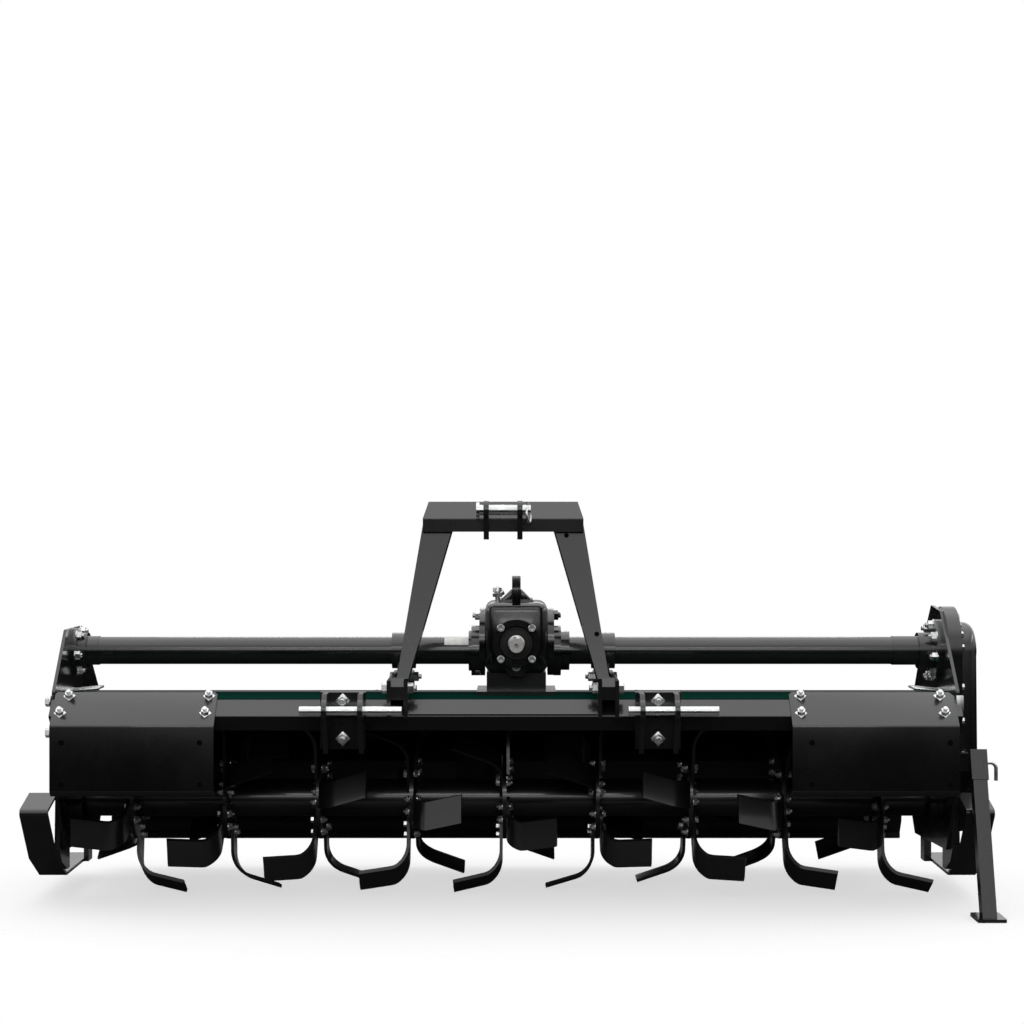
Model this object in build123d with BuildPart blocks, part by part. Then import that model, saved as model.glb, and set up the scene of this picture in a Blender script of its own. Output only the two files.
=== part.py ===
from build123d import *
import os
from math import asin, cos, degrees, radians, sin, tan

os.makedirs("parts", exist_ok=True)

# Rotary tiller for a tractor's three-point hitch, in millimetres.
# +X is the gear-case side, -Y the tractor side, +Z up; z = 0 is the floor.
# Side profiles are given as (y from the rotor's axis, height above the floor).

# Rotor
tip_r = 243
tine_step = 15
axle_z = tip_r * cos(radians(tine_step / 2))
rotor_y = 25
tube_r = 47.5
rotor_half = 1080
flange_r = 106
flange_t = 10
flange_count = 9
flange_first_x = -956
flange_pitch = 238
flange_last_x = 961
tine_t = 8
tine_w = 66
tine_reach = 125
tine_slope = 18
tine_twist = 20
tine_bend_r = 68
tine_root_r = 58
tine_sweep = 24
tine_sweep_x = 40
tip_lead = tine_w / 2 - tine_sweep
first_tine_angle = tine_step / 2 + degrees(asin(tip_lead / tip_r))
stub_r = 25
fit = 0.05

# Hood and side plates
plate_x = 1108
plate_t = 8
sheet_t = 5
hood_top_z = 519
hood_r = 301.5
hood_end_angle = 11
beam_y = -339
beam_z = 487.5
beam_side = 55
beam_half = beam_side / 2**0.5

# Drive line
cross_y = -60
cross_z = 627
cross_r = 35
box_x = 26
box_half = 80
case_t = 34
cover_t = 40
input_z = 654
input_r = 17.45
input_collar_r = 21
input_l = 85

# Mast and hitch
mast_x = -7
mast_lean = 17.8
mast_foot_y = -370
mast_foot_z = 578
mast_top_z = 967
ridge_z = 1009
top_pin_r = 12.7
top_pin_y = -292
top_pin_z = 988
low_pin_r = 11.1
low_pin_y = -440
low_pin_z = 507
clevis_left_x = -394
clevis_right_x = 368

# Front guards, skids and stand
guard_in = 704
guard_out = 1100
skid_t = 8
skid_w = 70
skid_left_x = -1129
skid_right_x = 1135
stand_x = 1163
stand_lean = 18.1
stand_leg = 35
stand_tube = 41
stand_y = -300
stand_z = 322
sleeve_l = 75
foot_t = 8

# Rear apron
hinge_y = 312
hinge_z = 294
hinge_r = 7
knuckle_r = 13
knuckle_l = 60
knuckle_gap = 5
apron_half = 1090
rod_x = 350
rod_r = 6
rod_eye_y = 392
rod_eye_z = 222
guide_y = 212
guide_z = 480


def side_plane(x):
    """Plane across the machine at x: its axes are y from the rotor's axis and height."""
    return Plane(origin=(x, rotor_y, 0), x_dir=(0, 1, 0), z_dir=(1, 0, 0))


def front_plane(y):
    """Upright plane seen from the tractor: its axes are x and height, its normal points forward."""
    return Plane(origin=(0, rotor_y + y, 0), x_dir=(1, 0, 0), z_dir=(0, -1, 0))


def top_plane(z):
    """Level plane at height z, with y from the rotor's axis."""
    return Plane(origin=(0, rotor_y, z), x_dir=(1, 0, 0), z_dir=(0, 0, 1))


def profile(x, width, points, corner=0):
    """A plate or block: a side profile at x, extruded by width along +X."""
    with BuildSketch(side_plane(x)) as face:
        with BuildLine():
            Polyline(*points, close=True)
        make_face()
        if corner:
            fillet(face.vertices(), radius=corner)
    extrude(face.sketch, amount=width)


def bent_sheet(x, width, points, bend, thickness, side=Side.LEFT):
    """A sheet folded along X: the line of one face, with its bends, made thick to one side."""
    with BuildSketch(side_plane(x)) as section:
        with BuildLine():
            FilletPolyline(*points, radius=bend)
            offset(amount=thickness, side=side)
        make_face()
    extrude(section.sketch, amount=width)


def rod_x_wise(x, length, y, z, radius, mode=Mode.ADD):
    """A round bar or hole along X."""
    with BuildSketch(side_plane(x)) as section:
        with Locations((y, z)):
            Circle(radius)
    extrude(section.sketch, amount=length, mode=mode)


def save(part, name):
    """Label a finished piece and write it."""
    part.label = name
    export_step(part, f"parts/{name}.step")
    return part


# Tine: a flat bar that lies against its flange, then bends out sideways and slopes to its tip.
# The bend is skewed, so that the leading edge of the wing reaches further out than the trailing one,
# and the wing is swept back towards its tip.
lead = tine_w / 2
tip_mid = (tip_r**2 - tip_lead**2) ** 0.5 - tip_lead * tan(radians(tine_twist))
elbow = tip_mid - tine_reach * tan(radians(tine_slope))
skew = cos(radians(tine_twist))
blade_plane = Plane(
    origin=(0, 0, 0),
    x_dir=(1, 0, 0),
    z_dir=(0, cos(radians(tine_twist)), -sin(radians(tine_twist))),
)

with BuildPart() as tine:
    with BuildSketch(blade_plane):
        with BuildLine():
            FilletPolyline(
                (flange_t / 2, 0),
                (flange_t / 2, elbow * skew),
                (flange_t / 2 + tine_reach, tip_mid * skew),
                radius=tine_bend_r,
            )
            offset(amount=tine_t, side=Side.RIGHT)
        make_face()
    extrude(amount=tip_r, both=True)
    with BuildSketch(Plane.XY.offset(-tine_root_r)):
        with BuildLine():
            Polyline(
                (0, lead),
                (tine_sweep_x, lead),
                (flange_t / 2 + tine_reach, tip_lead),
                (2 * tine_reach, tip_lead - tine_sweep),
                (2 * tine_reach, tip_lead - tine_sweep - tine_w),
                (flange_t / 2 + tine_reach, tip_lead - tine_w),
                (tine_sweep_x, -lead),
                (0, -lead),
                close=True,
            )
        make_face()
    extrude(amount=-tip_r, mode=Mode.INTERSECT)

# One station of the rotor: a flange with three tines bent to each side by turns.
right_tine = tine.part
left_tine = mirror(right_tine, about=Plane.YZ)
with BuildPart() as station:
    with BuildSketch(Plane.YZ.offset(-flange_t / 2)):
        Circle(flange_r)
    extrude(amount=flange_t)
    for turn in (0, 120, 240):
        with Locations(Location((0, 0, 0), (turn, 0, 0))):
            add(right_tine)
        with Locations(Location((0, 0, 0), (turn - 60, 0, 0))):
            add(left_tine)

# Rotor: the tube with its stub shafts, and the stations, each turned one step from the last.
flange_x = [flange_first_x + flange_pitch * i for i in range(flange_count - 1)] + [flange_last_x]
with BuildPart() as rotor:
    with BuildSketch(side_plane(-rotor_half)):
        with Locations((0, axle_z)):
            Circle(tube_r)
    extrude(amount=2 * rotor_half)
    with BuildSketch(side_plane(-plate_x + fit)):
        with Locations((0, axle_z)):
            Circle(stub_r)
    extrude(amount=2 * (plate_x - fit))
    for i, x in enumerate(flange_x):
        with Locations(Location((x, rotor_y, axle_z), (tine_step * i - first_tine_angle, 0, 0))):
            add(station.part)
save(rotor.part, "rotor")

# Front beam between the side plates, with one of its corners to the front.
with BuildPart() as front_beam:
    with BuildSketch(Plane(origin=(-plate_x, rotor_y + beam_y, beam_z), x_dir=(0, 1, 1), z_dir=(1, 0, 0))):
        RectangleRounded(beam_side, beam_side, 3)
    extrude(amount=2 * plate_x)
save(front_beam.part, "front_beam")

# Hood: a nearly level sheet from the beam's ridge to over the rotor, then an arc down behind it.
hood_mid_z = hood_top_z - hood_r
beam_top = beam_z + beam_half
with BuildPart() as hood:
    with BuildSketch(side_plane(-plate_x)):
        with BuildLine():
            outer = CenterArc((0, hood_mid_z), hood_r, hood_end_angle, 90 - hood_end_angle)
            inner = CenterArc((0, hood_mid_z), hood_r - sheet_t, hood_end_angle, 90 - hood_end_angle)
            Line(outer @ 0, inner @ 0)
            Polyline(outer @ 1, (beam_y, beam_top), (beam_y + sheet_t, beam_top - sheet_t), inner @ 1)
        make_face()
    extrude(amount=2 * plate_x)
save(hood.part, "hood")

# Side plates: they carry the beam, the hood, the cross tubes and the rotor's bearings.
plate_low = [(330, 430), (330, 210), (240, 112), (-170, 132), (-303, 330)]
left_top = [(-303, 541), (-163, 686), (25, 686), (171, 571), (242, 514)]
right_top = [(-297, 541), (-95, 730), (20, 740), (171, 600), (242, 514)]
with BuildPart() as side_plate_left:
    profile(-plate_x - plate_t, plate_t, left_top + plate_low, corner=8)
save(side_plate_left.part, "side_plate_left")
with BuildPart() as side_plate_right:
    profile(plate_x, plate_t, right_top + plate_low, corner=8)
save(side_plate_right.part, "side_plate_right")

# Bearing housings of the rotor, on the inner faces of the side plates.
bearing_t = 18
for side, start in (("left", -plate_x), ("right", plate_x - bearing_t)):
    with BuildPart() as bearing:
        rod_x_wise(start, bearing_t, 0, axle_z, 68)
        rod_x_wise(start, bearing_t, 0, axle_z, stub_r + fit, mode=Mode.SUBTRACT)
    save(bearing.part, f"rotor_bearing_{side}")

# Gear case on the right: a flat case from the cross tube down to the rotor, with a raised cover.
case_x = plate_x + plate_t
case_low_y = -20
case_low_z = 285
case_low_r = 140
with BuildPart() as gear_case:
    with BuildSketch(side_plane(case_x)):
        with Locations((cross_y, cross_z)):
            Circle(113)
        with Locations((case_low_y, case_low_z)):
            Circle(case_low_r)
        make_hull()
    extrude(amount=case_t)
save(gear_case.part, "gear_case")
with BuildPart() as gear_case_cover:
    with BuildSketch(side_plane(case_x + case_t)):
        with Locations((cross_y, cross_z)):
            Circle(73)
        with Locations((case_low_y, case_low_z)):
            Circle(case_low_r - 12)
        make_hull()
    extrude(amount=cover_t)
    fillet(gear_case_cover.faces().sort_by(Axis.X)[-1].edges(), radius=14)
save(gear_case_cover.part, "gear_case_cover")

# Gearbox in the middle, on a pedestal that stands on the hood.
box_front = -165
box_back = 45
with BuildPart() as gearbox:
    with BuildSketch(front_plane(box_front)):
        with Locations((box_x, 665)):
            RectangleRounded(2 * box_half, 178, 22)
    extrude(amount=box_front - box_back)
    profile(box_x - 11, 22, [(-160, 700), (-160, 790), (-140, 821), (-112, 821), (-10, 740), (-10, 700)])
save(gearbox.part, "gearbox")
with BuildPart() as gearbox_pedestal:
    profile(box_x - 75, 150, [(-150, 532), (-150, 576), (30, 576), (0, 532)])
    profile(box_x - 100, 200, [(-190, 523.2), (-190, 532), (0, 532), (0, 519.1)])
save(gearbox_pedestal.part, "gearbox_pedestal")
hub_z = 650
hub_r = 86
with BuildPart() as gearbox_hubs:
    left_end = box_x - box_half
    right_end = box_x + box_half
    rod_x_wise(left_end - 14, 14, cross_y, hub_z, hub_r)
    rod_x_wise(left_end - 35, 35, cross_y, cross_z, 64)
    rod_x_wise(left_end - 42, 7, cross_y, cross_z, 52)
    rod_x_wise(right_end, 16, cross_y, hub_z, hub_r)
    rod_x_wise(right_end + 16, 18, cross_y, cross_z, 64)
    rod_x_wise(right_end + 34, 22, cross_y, cross_z, 50)
save(gearbox_hubs.part, "gearbox_hubs")

# Input cap with a tail that runs down the gearbox's front, and the input shaft in it.
cap_t = 50
cap_end = box_front - cap_t
with BuildPart() as input_cap:
    with BuildSketch(front_plane(box_front)):
        with Locations((box_x, input_z)):
            Circle(60)
        with Locations((box_x, 583)):
            Rectangle(33, 26)
        make_hull()
    extrude(amount=cap_t / 2)
    with BuildSketch(front_plane(box_front)):
        with Locations((box_x, input_z)):
            Circle(60)
    extrude(amount=cap_t)
    with BuildSketch(front_plane(cap_end)):
        with Locations((box_x, input_z)):
            Circle(44)
    extrude(amount=-10, mode=Mode.SUBTRACT)
    with BuildSketch(front_plane(cap_end)):
        with Locations((box_x, input_z)):
            Circle(input_collar_r + fit)
    extrude(amount=-30, mode=Mode.SUBTRACT)
save(input_cap.part, "input_cap")
with BuildPart() as input_shaft:
    with BuildSketch(front_plane(cap_end + 29)):
        with Locations((box_x, input_z)):
            Circle(input_collar_r)
    extrude(amount=29)
    with BuildSketch(front_plane(cap_end)):
        with Locations((box_x, input_z)):
            Circle(input_r)
    extrude(amount=input_l)
save(input_shaft.part, "input_shaft")

# Cross tubes: the drive tube to the gear case and the brace tube to the left side plate.
collar_r = 46
socket_r = 37
tube_left = -1045
tube_right = 991
with BuildPart() as drive_tube:
    rod_x_wise(right_end + 56, tube_right - right_end - 56, cross_y, cross_z, cross_r)
save(drive_tube.part, "drive_tube")
with BuildPart() as brace_tube:
    rod_x_wise(tube_left, left_end - 42 - tube_left, cross_y, cross_z, cross_r)
save(brace_tube.part, "brace_tube")
with BuildPart() as tube_flange_left:
    rod_x_wise(-plate_x, 12, cross_y, cross_z, 58)
    rod_x_wise(-plate_x, 34, cross_y, cross_z, collar_r)
    rod_x_wise(-plate_x, plate_x + tube_left, cross_y, cross_z, socket_r)
save(tube_flange_left.part, "tube_flange_left")
with BuildPart() as tube_flange_right:
    rod_x_wise(tube_right, plate_x - tube_right, cross_y, cross_z, socket_r)
    rod_x_wise(plate_x - 52, 52, cross_y, cross_z, collar_r)
    rod_x_wise(plate_x - 14, 14, cross_y, cross_z, 80)
save(tube_flange_right.part, "tube_flange_right")

# Mast feet: on each side two plates over the beam, a saddle on the cross tube and a leaning leg.
foot_in = 230
foot_out = 271
bracket_t = 10
bracket = [(-392, 484), (-392, 575), (-30, 575), (-30, 522), (-339, 527.4), (-378.9, 487.5), (-375.4, 484)]
mast_plane = Plane(
    origin=(mast_x, rotor_y + mast_foot_y, mast_foot_z),
    x_dir=(1, 0, 0),
    z_dir=(0, -cos(radians(mast_lean)), sin(radians(mast_lean))),
)
leg_length = 396
leg_depth = 35
for side, sign in (("left", -1), ("right", 1)):
    with BuildPart() as mast_bracket:
        for off in (foot_in, foot_out):
            near = mast_x + sign * off
            profile(min(near, near + sign * bracket_t), bracket_t, bracket)
    save(mast_bracket.part, f"mast_bracket_{side}")
    mid = mast_x + sign * (foot_in + bracket_t + foot_out) / 2
    block_w = foot_out - foot_in - bracket_t
    with BuildPart() as tube_clamp:
        rod_x_wise(mid - 30, 60, cross_y, cross_z, collar_r)
        profile(mid - block_w / 2, block_w, [(-95, 545), (-95, 627), (-25, 627), (-25, 545)])
        rod_x_wise(mid - 30, 60, cross_y, cross_z, cross_r, mode=Mode.SUBTRACT)
    save(tube_clamp.part, f"tube_clamp_{side}")
    with BuildPart() as mast_leg:
        with BuildSketch(mast_plane):
            with BuildLine():
                Polyline(
                    (sign * 230, 0),
                    (sign * 258, 0),
                    (sign * 199, leg_length),
                    (sign * 123, leg_length),
                    close=True,
                )
            make_face()
        extrude(amount=-leg_depth)
        split(bisect_by=Plane.XY.offset(576))
        profile(mid - block_w / 2, block_w, [(-385, 528), (-385, 560), (-370, 580), (-336, 580), (-336, 528)])
    save(mast_leg.part, f"mast_leg_{side}")

# Top beam of the mast: a folded channel over both legs, and the top link's ears and pin.
channel_y = mast_foot_y + (934 - mast_foot_z) * tan(radians(mast_lean)) - 8
ridge_back = channel_y + ridge_z - mast_top_z
with BuildPart() as mast_top_beam:
    channel = [(channel_y, 934), (channel_y, mast_top_z), (ridge_back, ridge_z), (ridge_back + 22, ridge_z)]
    bent_sheet(mast_x - 199, 398, channel + [(ridge_back + 22, 940)], 4, 8, side=Side.RIGHT)
    with BuildSketch(front_plane(channel_y - 10)):
        with Locations((mast_x, mast_top_z)):
            Rectangle(398, 100, align=(Align.CENTER, Align.MAX))
            Trapezoid(398, ridge_z - mast_top_z + 1, 72.8, align=(Align.CENTER, Align.MIN))
    extrude(amount=-120, mode=Mode.INTERSECT)
save(mast_top_beam.part, "mast_top_beam")
ear_off = 35
ear_t = 13
with BuildPart() as top_link_ears:
    for start in (mast_x - ear_off - ear_t, mast_x + ear_off):
        with BuildSketch(side_plane(start)) as ear:
            with Locations((top_pin_y, top_pin_z)):
                Circle(23)
            with BuildLine():
                Polyline(
                    (channel_y, 915),
                    (channel_y, mast_top_z),
                    (channel_y + 20, mast_top_z + 20),
                    (top_pin_y, top_pin_z + 22),
                    (top_pin_y - 22, top_pin_z),
                    (channel_y - 16, 915),
                    close=True,
                )
            make_face()
            with Locations((top_pin_y, top_pin_z)):
                Circle(top_pin_r + fit, mode=Mode.SUBTRACT)
        extrude(amount=ear_t)
save(top_link_ears.part, "top_link_ears")
with BuildPart() as top_link_pin:
    rod_x_wise(mast_x - 58, 126, top_pin_y, top_pin_z, top_pin_r)
    rod_x_wise(mast_x - 66, 8, top_pin_y, top_pin_z, 19)
save(top_link_pin.part, "top_link_pin")

# Centre plate on the beam's upper front face, between the mast's feet.
with BuildPart() as centre_plate:
    with BuildSketch(Plane(origin=(mast_x, rotor_y + beam_y - beam_half / 2, beam_z + beam_half / 2), x_dir=(1, 0, 0), z_dir=(0, -1, 1))):
        Rectangle(2 * foot_in - 2, 46)
    extrude(amount=4)
save(centre_plate.part, "centre_plate")

# Lower hitch clevises: a notched block on the beam's front corner with two ears, and a pin through them.
beam_front = beam_y - beam_half
clevis_back = -352
ear_front = -386
notch = clevis_back - beam_front
low_ear_t = 12
for side, mid, ears, pin in (
    ("left", clevis_left_x, (-440, -354), (-494, 245)),
    ("right", clevis_right_x, (321, 404), (294, 216)),
):
    with BuildPart() as clevis:
        profile(
            mid - 55,
            110,
            [
                (ear_front, 410),
                (ear_front, 547),
                (clevis_back, 547),
                (clevis_back, beam_z + notch),
                (beam_front, beam_z),
                (clevis_back, beam_z - notch),
                (clevis_back, 410),
            ],
        )
        for start in ears:
            with BuildSketch(side_plane(start)):
                with BuildLine():
                    Polyline(
                        (ear_front, 400),
                        (ear_front, 547),
                        (low_pin_y, 547),
                        (low_pin_y - 28, low_pin_z),
                        (ear_front - 14, 400),
                        close=True,
                    )
                make_face()
                with Locations((low_pin_y, low_pin_z)):
                    Circle(28)
                with Locations((low_pin_y, low_pin_z)):
                    Circle(low_pin_r + fit, mode=Mode.SUBTRACT)
            extrude(amount=low_ear_t)
    save(clevis.part, f"hitch_clevis_{side}")
    with BuildPart() as hitch_pin:
        rod_x_wise(pin[0], pin[1], low_pin_y, low_pin_z, low_pin_r)
    save(hitch_pin.part, f"hitch_pin_{side}")

# Front guards: a slope that lies on the beam's upper face, an upright face and a lip.
for side, start in (("left", -guard_out), ("right", guard_in)):
    with BuildPart() as guard:
        bent_sheet(
            start,
            guard_out - guard_in,
            [(-326, 539.4), (-400, 465.4), (-400, 303), (-391, 294)],
            3,
            sheet_t,
            side=Side.RIGHT,
        )
    save(guard.part, f"guard_{side}")

# Skids: a strap bent back over its nose and up from its sole, a web at the nose and an upright bar.
web = [(-185, 277), (-204, 270), (-212, 140), (-185, 105), (-120, 75), (-90, 75), (-90, 140), (-160, 240)]
bar = [(150, 50), (150, 330), (200, 330), (200, 50)]
skid_line = [(-181, 277), (-299, 246), (-186, 112), (-66, 50), (251, 50)]
for side, strap_x, web_x, web_t in (
    ("left", skid_left_x - skid_w, skid_left_x, -skid_left_x - case_x),
    ("right", skid_right_x, case_x, skid_right_x - case_x),
):
    with BuildPart() as skid:
        bent_sheet(strap_x, skid_w, skid_line, 12, skid_t)
        profile(web_x, web_t, web)
        rod_x_wise(web_x, web_t, case_low_y, case_low_z, case_low_r + 1, mode=Mode.SUBTRACT)
        profile(web_x, web_t, bar)
    save(skid.part, f"skid_{side}")

# Stand: a square leg with a foot in a leaning sleeve, held by a pin through the leg's slot.
lean = radians(stand_lean)
stand_plane = Plane(
    origin=(stand_x, rotor_y + stand_y, stand_z),
    x_dir=(1, 0, 0),
    z_dir=(0, sin(lean), cos(lean)),
)
pin_z = 365
pin_y = stand_y + (pin_z - stand_z) * tan(lean)
pin_s = (pin_z - stand_z) / cos(lean)
stand_pin_r = 4.5
stand_stroke = 150
leg_wall = 3
with BuildPart() as stand_sleeve:
    with BuildSketch(stand_plane):
        Rectangle(stand_tube, stand_tube)
        Rectangle(stand_leg + 1, stand_leg + 1, mode=Mode.SUBTRACT)
    extrude(amount=sleeve_l)
    bracket_w = stand_x - stand_tube / 2 - case_x
    with BuildSketch(side_plane(case_x)):
        with Locations((pin_y + 8, pin_z + 2)):
            Rectangle(36, 44)
    extrude(amount=bracket_w)
    rod_x_wise(case_x, 80, pin_y, pin_z, stand_pin_r + fit, mode=Mode.SUBTRACT)
save(stand_sleeve.part, "stand_sleeve")
with BuildPart() as stand_pin:
    with BuildLine() as pin_line:
        pin_at = rotor_y + pin_y
        handle_x = stand_x + 45
        FilletPolyline(
            (case_x, pin_at, pin_z),
            (handle_x, pin_at, pin_z),
            (handle_x, pin_at, pin_z - 44),
            radius=14,
        )
    with BuildSketch(Plane(origin=(case_x, pin_at, pin_z), z_dir=(1, 0, 0))):
        Circle(stand_pin_r)
    sweep()
save(stand_pin.part, "stand_pin")
drop = stand_z / cos(lean) + stand_leg
slot_plane = Plane(origin=stand_plane.origin, x_dir=stand_plane.z_dir, z_dir=(1, 0, 0))
with BuildPart() as stand_leg_part:
    with BuildSketch(stand_plane.offset(-drop)):
        Rectangle(stand_leg, stand_leg)
        Rectangle(stand_leg - 2 * leg_wall, stand_leg - 2 * leg_wall, mode=Mode.SUBTRACT)
    extrude(amount=drop + sleeve_l)
    split(bisect_by=Plane.XY.offset(foot_t))
    with BuildSketch(slot_plane):
        with Locations((pin_s - stand_stroke / 2, 0)):
            SlotCenterToCenter(stand_stroke, 2 * stand_pin_r + 2)
    extrude(amount=stand_leg, both=True, mode=Mode.SUBTRACT)
    with BuildSketch(top_plane(0)):
        with Locations((stand_x + 2, stand_y - 95)):
            RectangleRounded(70, 94, 6)
    extrude(amount=foot_t)
save(stand_leg_part.part, "stand_leg")

# Rear apron: it hangs on a long pin in knuckles below the hood's rear edge.
apron_top = hinge_y + knuckle_r
apron_high = 280
apron_bend = 130
apron_slant = 13 / (apron_high - apron_bend)
apron_line = [(apron_top, apron_high), (apron_top + 13, apron_bend), (apron_top + 41, 92)]


def apron_back(z):
    """The y of the apron's rear face at height z, above its bend."""
    return apron_top + (apron_high - z) * apron_slant + sheet_t * (1 + apron_slant**2) ** 0.5


knuckle_starts = [sign * x - (knuckle_l if sign < 0 else 0) for x in (180, 960) for sign in (-1, 1)]
with BuildPart() as hinge_pin:
    rod_x_wise(-plate_x, 2 * plate_x, hinge_y, hinge_z, hinge_r)
save(hinge_pin.part, "hinge_pin")
with BuildPart() as hood_knuckles:
    for start in knuckle_starts:
        with BuildSketch(side_plane(start)):
            with Locations((hinge_y, hinge_z)):
                Circle(knuckle_r)
            with BuildLine():
                Polyline(
                    (hinge_y - knuckle_r, hinge_z),
                    (hinge_y - knuckle_r, hinge_z + 60),
                    (hinge_y - 4, hinge_z + 60),
                    (hinge_y + knuckle_r, hinge_z),
                    close=True,
                )
            make_face()
            with Locations((0, hood_mid_z)):
                Circle(hood_r, mode=Mode.SUBTRACT)
            with Locations((hinge_y, hinge_z)):
                Circle(hinge_r + fit, mode=Mode.SUBTRACT)
        extrude(amount=knuckle_l)
save(hood_knuckles.part, "hood_knuckles")
with BuildPart() as apron:
    bent_sheet(-apron_half, 2 * apron_half, apron_line, 20, sheet_t)
    for start in knuckle_starts:
        apron_start = start + (knuckle_l + knuckle_gap) * (1 if start > 0 else -1)
        with BuildSketch(side_plane(apron_start)):
            with Locations((hinge_y, hinge_z)):
                Circle(knuckle_r)
            with BuildLine():
                Polyline(
                    (hinge_y + knuckle_r, hinge_z),
                    (hinge_y, hinge_z - knuckle_r),
                    (apron_top, 260),
                    (apron_top + 9, 260),
                    close=True,
                )
            make_face()
            with Locations((hinge_y, hinge_z)):
                Circle(hinge_r + fit, mode=Mode.SUBTRACT)
        extrude(amount=knuckle_l)
save(apron.part, "apron")

# Apron rods: each hangs in two ears on the apron and slides up through a guide on the hood.
eye_r = 13
eye_t = 12
ear_gap = 2
rod_pin_r = 5
rod_head = 14
guide_t = 8
guide_hole_r = rod_r + 5
rod_run = ((guide_y - rod_eye_y) ** 2 + (guide_z - rod_eye_z) ** 2) ** 0.5
rod_dir = ((guide_y - rod_eye_y) / rod_run, (guide_z - rod_eye_z) / rod_run)


def rod_plane(x, distance):
    """Plane across the rod at x, at a distance from its eye towards its guide."""
    y = rotor_y + rod_eye_y + distance * rod_dir[0]
    z = rod_eye_z + distance * rod_dir[1]
    return Plane(origin=(x, y, z), x_dir=(1, 0, 0), z_dir=(0, rod_dir[0], rod_dir[1]))


with BuildPart() as apron_ears:
    for x in (-rod_x, rod_x):
        for start in (x - eye_t / 2 - ear_gap - 6, x + eye_t / 2 + ear_gap):
            with BuildSketch(side_plane(start)):
                with Locations((rod_eye_y, rod_eye_z)):
                    Circle(eye_r)
                with BuildLine():
                    Polyline(
                        (apron_back(250), 250),
                        (rod_eye_y, rod_eye_z + eye_r),
                        (rod_eye_y, rod_eye_z - eye_r),
                        (apron_back(185), 185),
                        close=True,
                    )
                make_face()
            extrude(amount=6)
        rod_x_wise(x - 20, 40, rod_eye_y, rod_eye_z, rod_pin_r)
save(apron_ears.part, "apron_ears")
with BuildPart() as rod_guides:
    for x in (-rod_x, rod_x):
        with BuildSketch(rod_plane(x, rod_run - guide_t / 2)):
            Rectangle(60, 44)
            Circle(guide_hole_r, mode=Mode.SUBTRACT)
        extrude(amount=guide_t)
        for start in (x - 30, x + 22):
            with BuildSketch(side_plane(start)):
                with BuildLine():
                    Polyline(
                        (guide_y - 22 * rod_dir[1], guide_z + 22 * rod_dir[0]),
                        (guide_y + 22 * rod_dir[1], guide_z - 22 * rod_dir[0]),
                        (205, 425),
                        (150, 460),
                        close=True,
                    )
                make_face()
                with Locations((0, hood_mid_z)):
                    Circle(hood_r, mode=Mode.SUBTRACT)
            extrude(amount=8)
save(rod_guides.part, "rod_guides")
for side, x in (("left", -rod_x), ("right", rod_x)):
    with BuildPart() as apron_rod:
        rod_x_wise(x - eye_t / 2, eye_t, rod_eye_y, rod_eye_z, eye_r)
        with BuildSketch(rod_plane(x, 0)):
            Circle(rod_r)
        extrude(amount=rod_run + guide_t)
        with BuildSketch(rod_plane(x, rod_run + guide_t / 2 + ear_gap)):
            Circle(2 * rod_r)
        extrude(amount=rod_head)
        rod_x_wise(x - eye_t, 2 * eye_t, rod_eye_y, rod_eye_z, rod_pin_r + fit, mode=Mode.SUBTRACT)
    save(apron_rod.part, f"apron_rod_{side}")
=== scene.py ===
# %% [markdown]
# # A rotary tiller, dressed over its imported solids
#
# The machine is wide and low: a rotor of bent tines under a hood, a gearbox on a cross tube,
# a three-point mast and a parking stand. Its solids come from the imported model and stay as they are.
# What this file adds is the finish of each surface, and the small parts that a maker bolts on last.
#
# The other way would be to model the whole machine again. The solids already have the right size and
# move with their joints, so the scene only adds to them.

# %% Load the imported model
import math

import bmesh
import bpy
from mathutils import Matrix, Vector


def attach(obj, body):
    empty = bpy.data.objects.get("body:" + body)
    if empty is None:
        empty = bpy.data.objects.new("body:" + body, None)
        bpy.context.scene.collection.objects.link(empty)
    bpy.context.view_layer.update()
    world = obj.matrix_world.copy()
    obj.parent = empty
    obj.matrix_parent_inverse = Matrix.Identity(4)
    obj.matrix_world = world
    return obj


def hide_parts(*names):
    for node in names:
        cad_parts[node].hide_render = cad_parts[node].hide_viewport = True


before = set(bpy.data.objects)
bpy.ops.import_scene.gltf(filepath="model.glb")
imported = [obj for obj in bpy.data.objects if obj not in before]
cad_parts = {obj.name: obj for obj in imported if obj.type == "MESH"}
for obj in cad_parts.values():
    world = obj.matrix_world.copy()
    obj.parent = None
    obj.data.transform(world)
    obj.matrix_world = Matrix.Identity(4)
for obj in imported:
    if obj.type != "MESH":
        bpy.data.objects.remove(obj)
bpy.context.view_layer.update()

# %% [markdown]
# ## The camera
#
# The photograph is level and square on to the front, with the vanishing point in the middle of the
# picture. Its place follows from the perspective of the flanges and the cross tubes: the lens is long,
# and it stands about five and a half metres before the rotor, a little lower than the mast's top.
# A level camera keeps upright edges upright, which a tilted one would not.

# %% Camera
ROTOR_Y = 0.025
bpy.ops.object.camera_add(location=(0.015, ROTOR_Y - 5.5, 0.983), rotation=(math.radians(90), 0, 0))
camera = bpy.context.object
camera.data.lens = 74.36
camera.data.sensor_width = 36
camera.data.clip_end = 100
bpy.context.scene.camera = camera
bpy.context.scene.view_settings.view_transform = "Standard"
print("lens", camera.data.lens)

# %% [markdown]
# ## A helper for node trees
#
# Every finish below is a small tree of shader nodes. One function adds a node, sets its values and
# links its inputs, so that each finish reads as a list of what feeds what. Colours are written as
# sRGB hex values, the way a paint card gives them, and turned into linear light here.

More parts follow.
